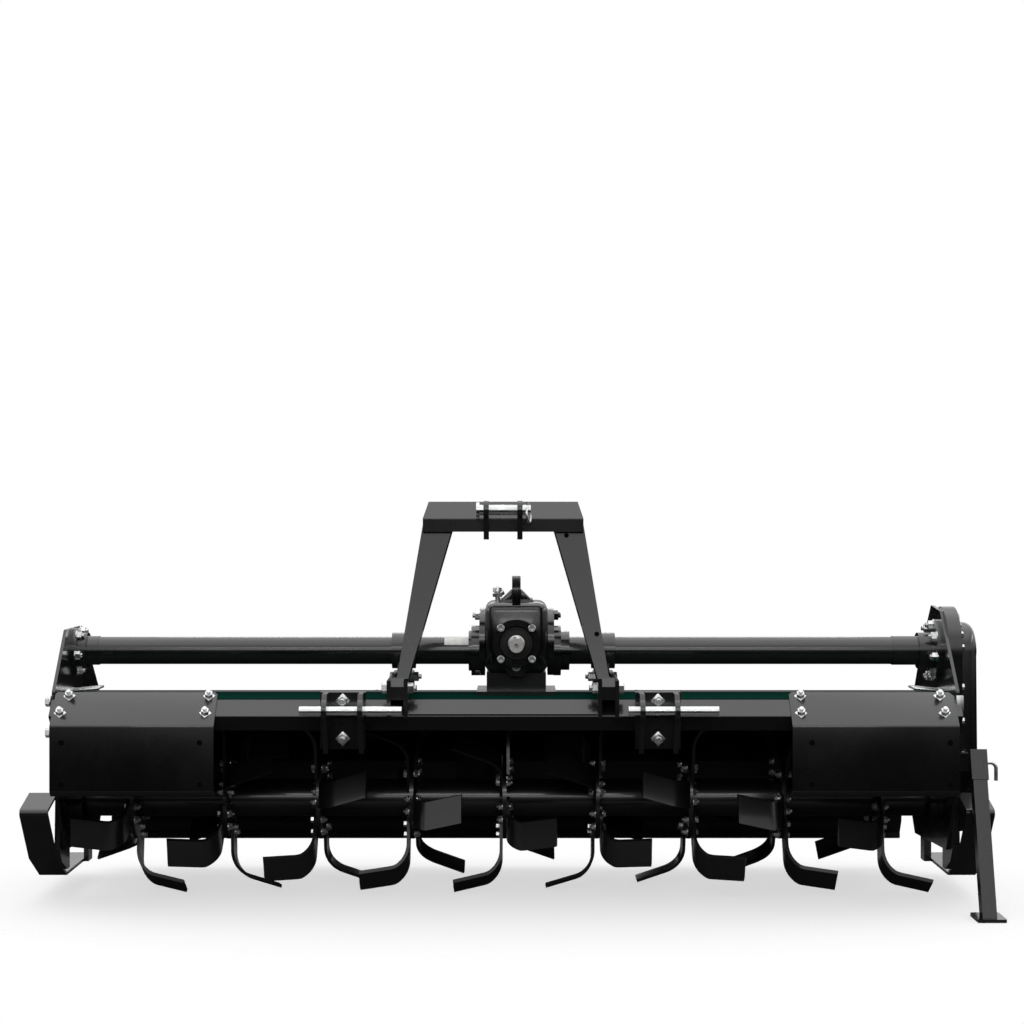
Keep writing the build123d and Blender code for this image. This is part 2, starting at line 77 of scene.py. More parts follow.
# %% Colour and node helpers
def linear(hex_colour):
    """An sRGB hex colour as linear RGBA."""
    channels = [int(hex_colour[i : i + 2], 16) / 255 for i in (0, 2, 4)]
    return tuple(c / 12.92 if c <= 0.04045 else ((c + 0.055) / 1.055) ** 2.4 for c in channels) + (1.0,)


def node(tree, kind, settings=None, **inputs):
    """Add a node. settings are its properties; inputs are values or other nodes' outputs.

    An input is given by its number, as in i0, or by its name, with _ for a space.
    """
    made = tree.nodes.new(kind)
    for key, value in (settings or {}).items():
        setattr(made, key, value)
    for key, value in inputs.items():
        numbered = key[0] == "i" and key[1:].isdigit()
        socket = made.inputs[int(key[1:]) if numbered else key.replace("_", " ")]
        if isinstance(value, bpy.types.NodeSocket):
            tree.links.new(value, socket)
        else:
            socket.default_value = value
    return made


def sums(tree, operation, first, second, clamp=False):
    """The result of a math node."""
    settings = {"operation": operation, "use_clamp": clamp}
    return node(tree, "ShaderNodeMath", settings, i0=first, i1=second).outputs[0]


def remap(tree, value, low, high, to_low, to_high, soft=False):
    """A value carried from one range to another, with soft ends if asked."""
    settings = {"interpolation_type": "SMOOTHSTEP" if soft else "LINEAR"}
    made = node(tree, "ShaderNodeMapRange", settings, i0=value, i1=low, i2=high, i3=to_low, i4=to_high)
    return made.outputs[0]


def mix_colours(tree, factor, first, second):
    """A colour between two."""
    return node(tree, "ShaderNodeMix", {"data_type": "RGBA"}, i0=factor, i6=first, i7=second).outputs[2]


def noise(tree, place, scale, detail, rough=0.5):
    """A noise value at a place."""
    made = node(tree, "ShaderNodeTexNoise", Vector=place, Scale=scale, Detail=detail, Roughness=rough)
    return made.outputs[0]


def ramp(tree, factor, *stops):
    """A colour ramp from (position, value or colour) stops."""
    made = node(tree, "ShaderNodeValToRGB", i0=factor)
    points = made.color_ramp.elements
    while len(points) < len(stops):
        points.new(0.5)
    for point, (at_position, value) in zip(points, stops):
        point.position = at_position
        point.color = value if isinstance(value, tuple) else (value, value, value, 1)
    return made.outputs[0]


def new_material(name):
    """An empty material with its tree, its shader and its Object coordinates."""
    made = bpy.data.materials.new(name)
    made.use_nodes = True
    tree = made.node_tree
    shader = tree.nodes["Principled BSDF"]
    place = node(tree, "ShaderNodeTexCoord").outputs["Object"]
    return made, tree, shader, place


def roughen(tree, shader, grain, strength, depth):
    """Let a value stand as fine relief on a shader's surface."""
    bump = node(tree, "ShaderNodeBump", Height=grain, Strength=strength, Distance=depth)
    tree.links.new(bump.outputs[0], shader.inputs["Normal"])


print("colour check:", [round(c, 3) for c in linear("808080")])

# %% [markdown]
# ## Light, floor and background
#
# A cut-out product photograph has a white ground and a black machine whose upright faces stay nearly
# black, while faces that tip up are grey. That comes from a bright ceiling and dark walls. The world
# does this: its brightness grows with the height of the direction, first just above level, and once
# more near the zenith. Only the wall behind the camera is dark; the others are grey. Rays from the
# camera see plain white. Reflections see the white too, but only above the walls.
#
# Lamps could do the same, but their light falls off over a floor this wide and the white would turn grey.

# %% World
world = bpy.data.worlds.new("studio_ceiling")
bpy.context.scene.world = world
world.use_nodes = True
tree = world.node_tree
tree.nodes.clear()
direction = node(tree, "ShaderNodeTexCoord").outputs["Generated"]
axes = node(tree, "ShaderNodeSeparateXYZ", i0=direction).outputs
height = axes[2]  # the sine of the direction's height above level
low_band = remap(tree, height, 0.05, 0.2, 0.045, 0.74, soft=True)
top_light = remap(tree, height, 0.55, 0.95, 0.0, 0.76, soft=True)
above = sums(tree, "GREATER_THAN", height, 0.0)
ceiling = sums(tree, "ADD", low_band, top_light)
grey_walls = remap(tree, axes[1], -0.8, -0.3, 0.0, 0.3, soft=True)
ceiling = sums(tree, "MAXIMUM", ceiling, grey_walls)
studio = sums(tree, "MULTIPLY", ceiling, above)
over_walls = remap(tree, height, 0.12, 0.8, 0.0, 1.0)
ray = node(tree, "ShaderNodeLightPath")
shiny = sums(tree, "MULTIPLY", ray.outputs["Is Glossy Ray"], over_walls)
studio = sums(tree, "MAXIMUM", studio, shiny)
seen = sums(tree, "ADD", ray.outputs["Is Camera Ray"], ray.outputs["Is Transmission Ray"], clamp=True)
plain = node(tree, "ShaderNodeBackground", Strength=studio, Color=(1, 1, 1, 1))
white = node(tree, "ShaderNodeBackground", Strength=1.0, Color=(1, 1, 1, 1))
both = node(tree, "ShaderNodeMixShader", i0=seen, i1=plain.outputs[0], i2=white.outputs[0])
node(tree, "ShaderNodeOutputWorld", i0=both.outputs[0])
print("world nodes:", len(tree.nodes))

# %% [markdown]
# The floor is a pale oval just large enough to hold the machine's soft shadow. Its rim fades out, and
# beyond it the white of the world shows at the same brightness, so no horizon is seen. A floor without
# an end would mirror itself as grey in the upright black faces, so to them it is also darker than to
# the eye, as a sheet of paper under a machine is where nothing lights it from the front.

# %% Floor
FLOOR_HALF = (2.3, 1.25)  # half its length and half its depth, in metres
bpy.ops.mesh.primitive_circle_add(vertices=96, radius=1.0, fill_type="NGON", location=(0, 0, 0))
floor = bpy.context.object
bpy.ops.transform.resize(value=(*FLOOR_HALF, 1))
bpy.ops.transform.translate(value=(0, 0, -0.001))
bpy.ops.object.transform_apply(location=True, scale=True)
floor.name = "floor"
# Matt paper: no gloss at all, or its far half would shine like a table.
pale, tree, shader, place = new_material("matt_white_floor_paper")
shader.inputs["Roughness"].default_value = 0.9
shader.inputs["Specular IOR Level"].default_value = 0.0
ray = node(tree, "ShaderNodeLightPath")
part_seen = sums(tree, "MULTIPLY", ray.outputs["Is Glossy Ray"], 0.35)
seen = sums(tree, "ADD", ray.outputs["Is Camera Ray"], part_seen)
seen = sums(tree, "ADD", seen, ray.outputs["Is Transmission Ray"], clamp=True)
paper_tone = mix_colours(tree, seen, linear("6e6e6e"), linear("fcfcfc"))
tree.links.new(paper_tone, shader.inputs["Base Color"])
oval = node(tree, "ShaderNodeMapping", Vector=place, Scale=(1 / FLOOR_HALF[0], 1 / FLOOR_HALF[1], 1)).outputs[0]
far = node(tree, "ShaderNodeVectorMath", {"operation": "LENGTH"}, i0=oval).outputs["Value"]
tree.links.new(remap(tree, far, 0.45, 0.98, 0.38, 0.0, soft=True), shader.inputs["Alpha"])
floor.data.materials.append(pale)
print("floor:", FLOOR_HALF)

# %% [markdown]
# Four long strip lamps, one for each side, stand above eye level. A glossy tube shows such a lamp as one
# clean bright line, which a round lamp would draw as a spot. A fifth one, lower and in front, shines in
# under the hood, where the bolts of the tines glitter.

# %% Strip lamps
# Each lamp: its turn about the machine, its height, how far it is tipped from facing down, its power.
STRIP_LAMPS = [(turn, 3.7, 64, 27) for turn in (0, 90, 180, 270)] + [(0, 2.1, 75.6, 14)]
for turn, lamp_height, tilt, power in STRIP_LAMPS:
    bpy.ops.object.light_add(type="AREA", location=(0, 0, 0))
    lamp = bpy.context.object
    lamp.data.shape = "RECTANGLE"
    lamp.data.size = 4.2
    lamp.data.size_y = 0.5
    lamp.data.energy = power
    around = Matrix.Rotation(math.radians(turn), 4, "Z")
    aim = Matrix.Rotation(math.radians(tilt), 4, "X")
    lamp.matrix_world = around @ Matrix.Translation((0, -6.6, lamp_height)) @ aim
    lamp.visible_camera = False
print("strip lamps:", len(STRIP_LAMPS))

# %% [markdown]
# ## Finishes
#
# Nearly the whole machine is steel in one black two-coat enamel: a satin ground with a clear gloss on
# it, sprayed, so its surface has the fine waviness of orange peel. On parts that came from a saw or a
# bender it is smooth; on castings the sand's grain shows through.

# %% Black enamel
def enamel(name, hex_colour, rough, coat, peel_mm, peel_height, dust=0.0, up=(0, 0, 1)):
    """Sprayed enamel. peel_mm is the spacing of its orange peel, or of the sand's grain under it."""
    made, tree, shader, place = new_material(name)
    # The real peel is about 2 mm wide. It is drawn at peel_mm, which still shows in the picture.
    peel = noise(tree, place, 1000 / peel_mm, 3.0)
    cloud = noise(tree, place, 6.0, 4.0, 0.6)
    # The normal is the body's own, so that dust and overspray stay where they are when a body turns.
    own_normal = tree.nodes["Texture Coordinate"].outputs["Normal"]
    dot = node(tree, "ShaderNodeVectorMath", {"operation": "DOT_PRODUCT"}, i0=own_normal, i1=up)
    facing = dot.outputs["Value"]
    settled = sums(tree, "MULTIPLY", remap(tree, facing, 0.6, 1.0, 0.0, dust), cloud)
    tint = mix_colours(tree, settled, linear(hex_colour), linear("6a6864"))
    tree.links.new(tint, shader.inputs["Base Color"])
    # Faces that look down get only dry overspray, so the clear coat ends there and the black turns dull.
    gloss = remap(tree, facing, -0.5, -0.1, 0.0, 1.0)
    even = ramp(tree, cloud, (0.3, rough - 0.05), (0.7, rough + 0.07))
    uneven = node(tree, "ShaderNodeMix", i0=gloss, i2=0.85, i3=even).outputs[0]
    tree.links.new(uneven, shader.inputs["Roughness"])
    roughen(tree, shader, peel, peel_height, 0.0006)
    shader.inputs["IOR"].default_value = 1.5
    tree.links.new(sums(tree, "MULTIPLY", gloss, coat), shader.inputs["Coat Weight"])
    shader.inputs["Coat Roughness"].default_value = 0.12
    shader.inputs["Coat IOR"].default_value = 1.5
    return made


# Two-coat enamel on rolled sheet and tube.
black_enamel = enamel("black_gloss_enamel", "0e0e10", 0.27, 0.9, 5, 0.08, dust=0.03)
# The same enamel on iron cast in sand: the grain stays, and it is the glossiest, as it is sprayed wet.
black_cast = enamel("black_enamel_on_sand_casting", "0d0d0f", 0.2, 1.0, 3, 0.35)
# The tines are dipped after forging, so their film is uneven and a little greyer.
tine_black = enamel("black_enamel_on_forged_tine", "111112", 0.34, 0.8, 7, 0.3)
# Soil rubs the apron's inner face dull, so its overspray side is the one toward the rotor.
apron_enamel = enamel("black_enamel_dulled_by_soil", "0c0c0d", 0.42, 0.3, 5, 0.15, up=(0, 1, 0))
# Painted reflection: the front strip of the hood is coloured dark green, standing for green surroundings
# mirrored
# in it, and is matt: it has no clear coat, and the sheet has no gloss of its own under the coat of its black
# part.
hood_enamel = enamel("black_gloss_enamel_with_painted_green_reflection", "0e0e10", 0.4, 0.5, 5, 0.2)
tree = hood_enamel.node_tree
shader = tree.nodes["Principled BSDF"]
depth = node(tree, "ShaderNodeSeparateXYZ", i0=tree.nodes["Texture Coordinate"].outputs["Object"]).outputs[1]
green_reflection_strip = remap(tree, depth, -0.035, -0.029, 1.0, 0.0)  # it ends below the cross tube
black_tint = shader.inputs["Base Color"].links[0].from_socket
# Painted reflection: the strip's dark green colour stands for mirrored green surroundings.
tree.links.new(mix_colours(tree, green_reflection_strip, black_tint, linear("0c2e27")), shader.inputs["Base Color"])
shader.inputs["Specular IOR Level"].default_value = 0.0
clear = shader.inputs["Coat Weight"].links[0].from_socket
clear = sums(tree, "MULTIPLY", clear, sums(tree, "SUBTRACT", 1.0, green_reflection_strip))
tree.links.new(clear, shader.inputs["Coat Weight"])
print("enamels:", [m.name for m in (black_enamel, black_cast, tine_black, apron_enamel, hood_enamel)])

# %% [markdown]
# The fasteners and pins are zinc plated: bright, bluish white and a little cloudy, because the plating
# is thin. The input shaft is bare turned steel, a little darker, yellower and rougher.

# %% Zinc and bare steel
def bare_metal(name, low_hex, high_hex, rough, cloud_mm):
    """Uncoated or plated metal whose brightness drifts in clouds of cloud_mm."""
    made, tree, shader, place = new_material(name)
    cloud = noise(tree, place, 1000 / cloud_mm, 4.0)
    tone = ramp(tree, cloud, (0.35, linear(low_hex)), (0.65, linear(high_hex)))
    tree.links.new(tone, shader.inputs["Base Color"])
    tree.links.new(ramp(tree, cloud, (0.3, rough + 0.08), (0.7, rough - 0.06)), shader.inputs["Roughness"])
    roughen(tree, shader, noise(tree, place, 900.0, 2.0), 0.25, 0.0003)
    shader.inputs["Metallic"].default_value = 1.0
    return made


# Bright zinc plating on fasteners and pins.
zinc = bare_metal("zinc_plated_steel", "dadbdc", "e8e9ea", 0.3, 30)
# Turned steel without a coat, on the input shaft.
bare_steel = bare_metal("turned_bare_steel", "c2c1be", "dddcd9", 0.45, 12)
print("metals:", zinc.name, bare_steel.name)

# %% [markdown]
# Each solid takes the finish of the part that it stands for.

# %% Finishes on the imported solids
finish_of = {name: black_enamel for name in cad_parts}
for name in ("gearbox", "gearbox_hubs", "input_cap", "rotor_bearing_left", "rotor_bearing_right"):
    finish_of[name] = black_cast
for name in ("hitch_pin_left", "hitch_pin_right", "top_link_pin", "stand_pin", "hinge_pin"):
    finish_of[name] = zinc
finish_of["input_shaft"] = bare_steel
finish_of["rotor"] = tine_black
finish_of["hood"] = hood_enamel
for name in ("apron", "apron_ears"):
    finish_of[name] = apron_enamel
for name, finish in finish_of.items():
    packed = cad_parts[name]
    packed.data.materials.clear()
    packed.data.materials.append(finish)
print("finished solids:", len(finish_of))

# %% [markdown]
# ## Bolts
#
# The machine is held together by hexagon bolts: a head with its corners turned off, a washer, and on
# the other side a nut with a few turns of thread standing proud. All are modelled once, at a size of
# one across the corners, and copied to their places. A bolt drawn as a plain prism would look cast:
# the chamfer that the lathe leaves on the corners is what catches the light.
#
# The hexagon starts as a six-sided cylinder. Its top face is inset and raised, which gives the chamfer;
# a washer's top face is inset and raised in the same way.

# %% Bolt helpers
def clear_selection():
    """Deselect every object, as each operator acts on all that is selected."""
    if bpy.context.object and bpy.context.object.mode != "OBJECT":
        bpy.ops.object.mode_set(mode="OBJECT")
    bpy.ops.object.select_all(action="DESELECT")


def pick_faces(obj, wanted):
    """In edit mode, select only the faces that wanted(face) is true for."""
    mesh = bmesh.from_edit_mesh(obj.data)
    bpy.ops.mesh.select_all(action="DESELECT")
    bpy.context.tool_settings.mesh_select_mode = (False, False, True)
    for face in mesh.faces:
        face.select_set(bool(wanted(face)))
    bmesh.update_edit_mesh(obj.data)


def start_cylinder(sides, radius, low, high):
    """Add an upright cylinder and go into edit mode on it."""
    clear_selection()
    bpy.ops.mesh.primitive_cylinder_add(
        vertices=sides, radius=radius, depth=high - low, location=(0, 0, (high + low) / 2)
    )
    made = bpy.context.object
    bpy.ops.object.transform_apply(location=True)
    bpy.ops.object.mode_set(mode="EDIT")
    return made


def hexagon(height, crown, bore=0.0):
    """A hexagon one across its corners, chamfered at the top; a bore makes it a nut's top."""
    made = start_cylinder(6, 0.5, 0.0, height)
    pick_faces(made, lambda f: f.normal.z > 0.9)
    bpy.ops.mesh.inset(thickness=0.055)
    bpy.ops.transform.translate(value=(0, 0, crown))
    if bore:
        bpy.ops.mesh.inset(thickness=0.36 - bore)
        bpy.ops.transform.translate(value=(0, 0, -crown))
    bpy.ops.object.mode_set(mode="OBJECT")
    return made


def washer(radius, thickness):
    """A washer with a rounded rim."""
    made = start_cylinder(16, radius, -thickness, 0.0)
    pick_faces(made, lambda f: f.normal.z > 0.9)
    bpy.ops.mesh.inset(thickness=0.04)
    bpy.ops.transform.translate(value=(0, 0, 0.02))
    bpy.ops.object.mode_set(mode="OBJECT")
    return made


def thread_end(radius, low, high):
    """The end of a bolt: its turns of thread as two coarse grooves, and a chamfered tip."""
    made = start_cylinder(8, radius, low, low + 0.01)
    for _ in range(2):
        pick_faces(made, lambda f: f.normal.z > 0.9)
        bpy.ops.mesh.extrude_region_move(TRANSFORM_OT_translate={"value": (0, 0, (high - low) / 5)})
        bpy.ops.transform.resize(value=(0.88, 0.88, 1))
        bpy.ops.mesh.extrude_region_move(TRANSFORM_OT_translate={"value": (0, 0, (high - low) / 5)})
        bpy.ops.transform.resize(value=(1.136, 1.136, 1))
    bpy.ops.mesh.inset(thickness=radius * 0.25)
    bpy.ops.transform.translate(value=(0, 0, (high - low) / 12))
    bpy.ops.object.mode_set(mode="OBJECT")
    return made


def joined(name, parts):
    """Join objects to one, named piece."""
    clear_selection()
    for part in parts:
        part.select_set(True)
    bpy.context.view_layer.objects.active = parts[0]
    if len(parts) > 1:
        bpy.ops.object.join()
    made = bpy.context.object
    made.name = name
    made.data.name = name
    return made


head_model = joined("bolt_head_model", [washer(0.62, 0.1), hexagon(0.42, 0.05)])
square_washer = start_cylinder(4, 0.72, -0.2, 0.0)
pick_faces(square_washer, lambda f: f.normal.z > 0.9)
bpy.ops.mesh.inset(thickness=0.05)
bpy.ops.transform.translate(value=(0, 0, 0.02))
bpy.ops.object.mode_set(mode="OBJECT")
stud_model = joined("guard_stud_model", [square_washer, hexagon(0.5, 0.05), thread_end(0.27, 0.47, 1.0)])
nut_model = joined("bolt_nut_model", [washer(0.62, 0.1), hexagon(0.48, 0.05), thread_end(0.27, 0.45, 0.85)])
print("bolt head:", len(head_model.data.polygons), "faces; nut:", len(nut_model.data.polygons), "faces")


# %% [markdown]
# A set of equal bolts becomes one piece: the model is copied to each spot with a mesh of its own, and
# the copies are joined. One object for each bolt would make the outliner unreadable.

# %% Copies of a model at many places
def place_copies(name, model, spots, finish, body):
    """Copies of a model joined to one piece. A spot is (point, direction, size, turn about it)."""
    copies = []
    for point, direction, size, turn in spots:
        copy = model.copy()
        copy.data = model.data.copy()
        bpy.context.collection.objects.link(copy)
        aim = Vector(direction).to_track_quat("Z", "Y").to_matrix().to_4x4()
        spin = Matrix.Rotation(math.radians(turn), 4, "Z")
        copy.data.transform(Matrix.Translation(Vector(point)) @ aim @ spin @ Matrix.Scale(size, 4))
        copies.append(copy)
    made = joined(name, copies)
    made.data.materials.clear()
    made.data.materials.append(finish)
    bpy.ops.object.shade_smooth_by_angle(angle=math.radians(32))
    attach(made, body)
    print(name, len(spots), "copies,", len(made.data.polygons), "faces")
    return made


# %% [markdown]
# ### Tine bolts
#
# Each tine is held to its flange by two bolts, their heads on the tine and their nuts on the other side
# of the flange. With six tines on a flange that makes rings of bright studs, which is most of what
# glitters between the tines in the photograph. Each is turned a little differently, as a wrench leaves
# them.

# %% Tine bolts
TIP_REACH = 0.243  # from the axis to a tine's tip
STEP = 15  # degrees that each flange is turned against the last
AXLE_Z = TIP_REACH * math.cos(math.radians(STEP / 2))
FLANGE_X = [-0.956 + 0.238 * i for i in range(8)] + [0.961]
FIRST_TINE = STEP / 2 + math.degrees(math.asin(0.009 / TIP_REACH))
HEAD_OFF, NUT_OFF = 0.0145, 0.0065  # from the flange's middle to its bolts' seats
TINE_BOLT = 0.0175  # across the corners of its head
heads, nuts = [], []
for i, x in enumerate(FLANGE_X):
    for k in range(6):
        # Tines bend to either side in turn. A left one's bolts are those of the tine two places back.
        side, place = (1, k) if k % 2 == 0 else (-1, k - 2)
        angle = math.radians(STEP * i - FIRST_TINE + 60 * place)
        down = Vector((0, math.sin(angle), -math.cos(angle)))
        along = Vector((0, math.cos(angle), math.sin(angle)))
        for reach, across in ((0.074, -0.013), (0.094, 0.014)):
            centre = Vector((x, ROTOR_Y, AXLE_Z)) + down * reach + along * across
            heads.append((centre + Vector((side * HEAD_OFF, 0, 0)), (side, 0, 0), TINE_BOLT, 17 * k))
            nuts.append((centre - Vector((side * NUT_OFF, 0, 0)), (-side, 0, 0), TINE_BOLT, 29 * k))
place_copies("tine_bolt_heads", head_model, heads, zinc, "rotor")
place_copies("tine_bolt_nuts", nut_model, nuts, zinc, "rotor")

# %% [markdown]
# ### Bolts of the frame
#
# The guards hang on four studs each with square washers, the clevises on two, and the gearbox, the gear
# case and the cross tubes on rings of bolts. Their places are read from the photograph and set on the
# face that carries them. Those on faces that it doesn't show are placed as a maker would.

# %% Places on the frame
# In millimetres, read from the photograph: x across, y from the rotor's axis, z above the floor.
CROSS_TUBE = (-60, 627)
INPUT = (26, 654)
GEARBOX_Z = 650
HUB_FACES = (-68, 122)  # where the cross tubes are bolted to the gearbox
MAST_X = -7
MAST_FACES = (230, 281)  # inner and outer faces of the mast's feet, from the mast's middle
CLEVIS_X = (-394, 368)
PLATE_IN, PLATE_OUT = 1108, 1116
CASE_FACE = 1150
AXLE_MM = 240.9
FRONT, LEFT, RIGHT, UP = (0, -1, 0), (-1, 0, 0), (1, 0, 0), (0, 0, 1)


def at(x, y, z):
    """A point given in millimetres, with y from the rotor's axis."""
    return Vector((x / 1000, y / 1000 + ROTOR_Y, z / 1000))


def ring(x, y, z, radius, count, side, size, first=0.0):
    """Spots on a circle across the machine."""
    spots = []
    for i in range(count):
        turn = math.radians(first + 360 * i / count)
        point = at(x, y + radius * math.cos(turn), z + radius * math.sin(turn))
        spots.append((point, (side, 0, 0), size, 23 * i))
    return spots


print("rotor axis at", tuple(round(v, 3) for v in at(0, 0, AXLE_MM)))

# %% Frame bolts
GUARD_TOP_Y, GUARD_TOP_Z = -326, 539.4  # the top edge of a guard; below it the sheet slopes at 45 degrees
front_studs = []
for outer, inner, outer_low, inner_low in ((-1065, -724, -1080, -728), (1058, 718, 1063, 715)):
    for x, y in ((outer, -336), (outer_low, -374), (inner, -336), (inner_low, -374)):
        seat = at(x, y - 3, GUARD_TOP_Z + (y - GUARD_TOP_Y) + 5)
        front_studs.append((seat, (0, -1, 1), 0.021, x % 7 - 3))
for x in CLEVIS_X:
    front_studs += [(at(x, -391, z), FRONT, 0.025, 0) for z in (527, 435)]
place_copies("front_studs", stud_model, front_studs, zinc, "frame")
frame_nuts, cast_nuts = [], []
for first in (65, 115, 245, 295):
    frame_nuts += ring(HUB_FACES[0], CROSS_TUBE[0], GEARBOX_Z, 75, 1, -1, 0.022, first)
    cast_nuts += ring(HUB_FACES[1], CROSS_TUBE[0], GEARBOX_Z, 75, 1, 1, 0.022, first)
place_copies("right_hub_nuts", nut_model, cast_nuts, black_cast, "frame")
frame_nuts += ring(PLATE_IN - 14, *CROSS_TUBE, 67, 8, -1, 0.024, 10)
frame_nuts += ring(-PLATE_IN + 12, *CROSS_TUBE, 52, 6, 1, 0.022, 10)
frame_heads = ring(-PLATE_OUT, *CROSS_TUBE, 50, 6, -1, 0.022, 10)
for y, z in ((-318, 518), (-318, 442), (-20, 505), (230, 460)):
    frame_heads.append((at(-PLATE_OUT, y, z), LEFT, 0.024, 8))
for side in (-1, 1):
    for y, z, head_size, nut_size in ((-366, 556, 0.028, 0.026), (-60, 560, 0.024, 0.024)):
        frame_heads.append((at(MAST_X + side * MAST_FACES[1], y, z), (side, 0, 0), head_size, 5))
        frame_nuts.append((at(MAST_X + side * MAST_FACES[0], y, z), (-side, 0, 0), nut_size, 5))
case_low, case_high = Vector((-20, 285)), Vector(CROSS_TUBE)
for i in range(9):
    turn = math.radians(8 + 20.5 * i)
    spot = case_high + 94 * Vector((math.cos(turn), math.sin(turn)))
    frame_heads.append((at(CASE_FACE, *spot), RIGHT, 0.017, 9 * i))
for reach in (0.25, 0.5, 0.75):
    middle = case_high.lerp(case_low, reach)
    for edge in (-1, 1):
        spot = middle.x + edge * (94 + 40 * reach)
        frame_heads.append((at(CASE_FACE, spot, middle.y), RIGHT, 0.017, 31))
place_copies("frame_nuts", nut_model, frame_nuts, zinc, "frame")
place_copies("frame_bolt_heads", head_model, frame_heads, zinc, "frame")

# %% [markdown]
# ## The gearbox
#
# The real housing is a grey-iron casting: a box with wide soft corners, a machined pad for the input
# cap, a cover plate on top and a lifting lug with two gussets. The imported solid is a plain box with
# the lug, so a shaped casting replaces it. It starts as a cube of the solid's size. Bevelling every
# edge gives the mould's radii; insetting and moving faces gives the pad and the cover.

# %% Helpers for turned and cut pieces
def finished(name, obj, finish, body, angle=32):
    """Name a piece, give it its finish and let it ride."""
    made = joined(name, [obj] if not isinstance(obj, list) else obj)
    made.data.materials.clear()
    made.data.materials.append(finish)
    bpy.ops.object.shade_smooth_by_angle(angle=math.radians(angle))
    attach(made, body)
    print(name, len(made.data.polygons), "faces")
    return made


def turned(sides, radius, first, steps):
    """A turned piece along +Z: a disc, then steps of (rise, new radius), each extruded from the last."""
    made = start_cylinder(sides, radius, 0.0, first)
    now = radius
    for rise, target in steps:
        pick_faces(made, lambda f: f.normal.z > 0.9 and len(f.verts) == sides)
        bpy.ops.mesh.extrude_region_move(TRANSFORM_OT_translate={"value": (0, 0, rise)})
        bpy.ops.transform.resize(value=(target / now, target / now, 1))
        now = target
    bpy.ops.object.mode_set(mode="OBJECT")
    return made


def aimed(obj, point, direction):
    """Put a piece made along +Z at a point, along a direction, with its place in its mesh."""
    aim = Vector(direction).to_track_quat("Z", "Y").to_matrix().to_4x4()
    obj.data.transform(Matrix.Translation(Vector(point)) @ aim)
    return obj


def cut_sheet(outline, start, width, bevel=0.0015):
    """A plate cut to an outline of (y from the rotor's axis, z) in millimetres, from X = start."""
    clear_selection()
    bpy.ops.mesh.primitive_circle_add(vertices=len(outline), radius=1.0, fill_type="NGON")
    made = bpy.context.object
    for vertex, (y, z) in zip(made.data.vertices, outline):
        vertex.co = at(start, y, z)
    bpy.ops.object.mode_set(mode="EDIT")
    bpy.ops.mesh.select_all(action="SELECT")
    bpy.ops.mesh.extrude_region_move(TRANSFORM_OT_translate={"value": (width / 1000, 0, 0)})
    bpy.ops.mesh.select_all(action="SELECT")
    bpy.ops.mesh.normals_make_consistent(inside=False)
    if bevel:
        bpy.ops.mesh.bevel(offset=bevel, segments=2, affect="EDGES")
    bpy.ops.object.mode_set(mode="OBJECT")
    return made


# %% Gearbox casting
def rounded_block(low, high, radius, segments=4):
    """A block between two corners in millimetres with rounded edges."""
    clear_selection()
    bpy.ops.mesh.primitive_cube_add(size=1.0)
    made = bpy.context.object
    size = [(b - a) / 1000 for a, b in zip(low, high)]
    bpy.ops.transform.resize(value=size)
    bpy.ops.object.transform_apply(scale=True)
    middle = at(*[(a + b) / 2 for a, b in zip(low, high)])
    made.data.transform(Matrix.Translation(middle))
    bpy.ops.object.mode_set(mode="EDIT")
    bpy.ops.mesh.select_all(action="SELECT")
    bpy.ops.mesh.bevel(offset=radius, segments=segments, affect="EDGES")
    bpy.ops.object.mode_set(mode="OBJECT")
    return made


casting = rounded_block((-54, -165, 576), (106, 45, 754), 0.024)
bpy.ops.object.mode_set(mode="EDIT")
pick_faces(casting, lambda f: f.normal.y < -0.98 and f.calc_area() > 0.008)
bpy.ops.mesh.inset(thickness=0.006)
bpy.ops.transform.translate(value=(0, -0.003, 0))
pick_faces(casting, lambda f: f.normal.z > 0.98 and f.calc_area() > 0.008)
bpy.ops.mesh.inset(thickness=0.012)
bpy.ops.mesh.inset(thickness=0.002)
bpy.ops.transform.translate(value=(0, 0, 0.006))
pick_faces(casting, lambda f: abs(f.normal.x) > 0.98 and f.calc_area() > 0.008)
bpy.ops.mesh.inset(thickness=0.02, use_individual=True)
bpy.ops.object.mode_set(mode="OBJECT")
lug_line = [(-158, 740), (-158, 790), (-141, 817), (-134, 821), (-118, 821)]
lug_line += [(-108, 814), (-40, 758), (-20, 745)]
lug = cut_sheet(lug_line, 15, 22, 0.003)
gussets = []
for low_x, high_x in ((-16, 16), (36, 68)):
    wedge = rounded_block((low_x, -120, 748), (high_x, -92, 786), 0.003, 2)
    bpy.ops.object.mode_set(mode="EDIT")
    outer = low_x if low_x < 0 else high_x
    mesh = bmesh.from_edit_mesh(wedge.data)
    bpy.ops.mesh.select_all(action="DESELECT")
    for vertex in mesh.verts:
        vertex.select_set(vertex.co.z > 0.770 and abs(vertex.co.x - outer / 1000) < 0.008)
    mesh.select_flush_mode()
    bmesh.update_edit_mesh(wedge.data)
    bpy.context.tool_settings.mesh_select_mode = (True, False, False)
    bpy.ops.transform.translate(value=(0, 0, -0.026))
    bpy.ops.object.mode_set(mode="OBJECT")
    gussets.append(wedge)
gearbox_casting = finished("gearbox_casting", [casting, lug, *gussets], black_cast, "frame")
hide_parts("gearbox")

# %% [markdown]
# The input cap carries a dark lip seal round the shaft, and the shaft itself has six splines. A spline
# is a ridge along the shaft, so the shaft's end starts as a cylinder of 24 sides, and six of its long
# faces are inset and moved inwards to make the grooves. Its front end has the hole that a lathe's
# centre holds it by.

